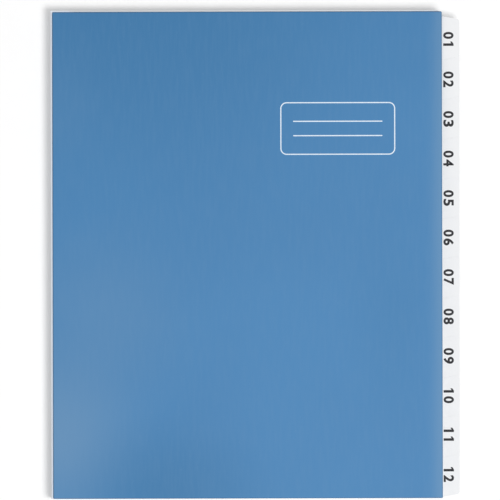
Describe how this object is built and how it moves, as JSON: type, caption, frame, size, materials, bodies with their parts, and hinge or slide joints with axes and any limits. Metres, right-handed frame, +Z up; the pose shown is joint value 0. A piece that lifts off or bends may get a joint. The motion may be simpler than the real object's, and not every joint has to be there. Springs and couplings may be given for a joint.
{
  "type": "desk sorter with tabbed dividers",
  "caption": "Letter-size desk sorter: stiff blue covers, white tabbed divider leaves staggered down the fore edge, and a pleated spine strip that lets it expand.",
  "frame": {"origin": "on the table under the middle of the closed sorter, lying on its back cover", "axes": "+X from the pleated spine to the tabs, +Y from the foot to the head, +Z up from the back cover to the front cover"},
  "size_m": [0.256, 0.3058, 0.0169],
  "materials": {
    "cover": "satin",
    "card": "satin",
    "strip": "matte"
  },
  "bodies": {
    "leaf_block": {"spine_pleats": "strip", "divider_01": "card", "divider_02": "card", "divider_03": "card", "divider_04": "card", "divider_05": "card", "divider_06": "card", "divider_07": "card", "divider_08": "card", "divider_09": "card", "divider_10": "card", "divider_11": "card", "divider_12": "card"},
    "front_cover": {"front_cover": "cover", "front_hinge_flap": "strip"},
    "back_cover": {"back_cover": "cover", "back_hinge_flap": "strip"}
  },
  "joints": [
    {"name": "front_cover_hinge", "type": "hinge", "parent": "leaf_block", "child": "front_cover", "pos_m": [-0.12805, 0, 0.01544], "axis": [0, -1, 0], "range_deg": [0, 180]},
    {"name": "back_cover_hinge", "type": "hinge", "parent": "leaf_block", "child": "back_cover", "pos_m": [-0.12805, 0, 0.00146], "axis": [0, 1, 0], "range_deg": [0, 180]}
  ]
}
